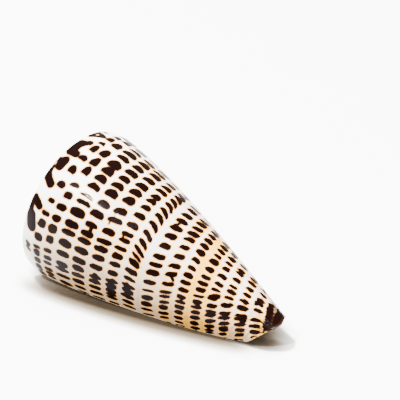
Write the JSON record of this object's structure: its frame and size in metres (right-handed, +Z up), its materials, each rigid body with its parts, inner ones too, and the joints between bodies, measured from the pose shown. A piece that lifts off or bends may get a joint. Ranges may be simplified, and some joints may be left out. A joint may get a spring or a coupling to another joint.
{
  "type": "cone shell",
  "caption": "Cone-shaped spiral seashell with a broad low spire, a long narrow aperture and a thin outer lip.",
  "frame": {"origin": "on the surface the shell lies on, below the middle of its bounding box", "axes": "+X along the surface from the spire towards the front tip, +Z up; the aperture faces down"},
  "size_m": [0.1, 0.053, 0.0495],
  "materials": {
    "shell": "glossy, with dark brown spots in rows and a white inside"
  },
  "bodies": {
    "root": {"shell": "shell"}
  },
  "joints": []
}
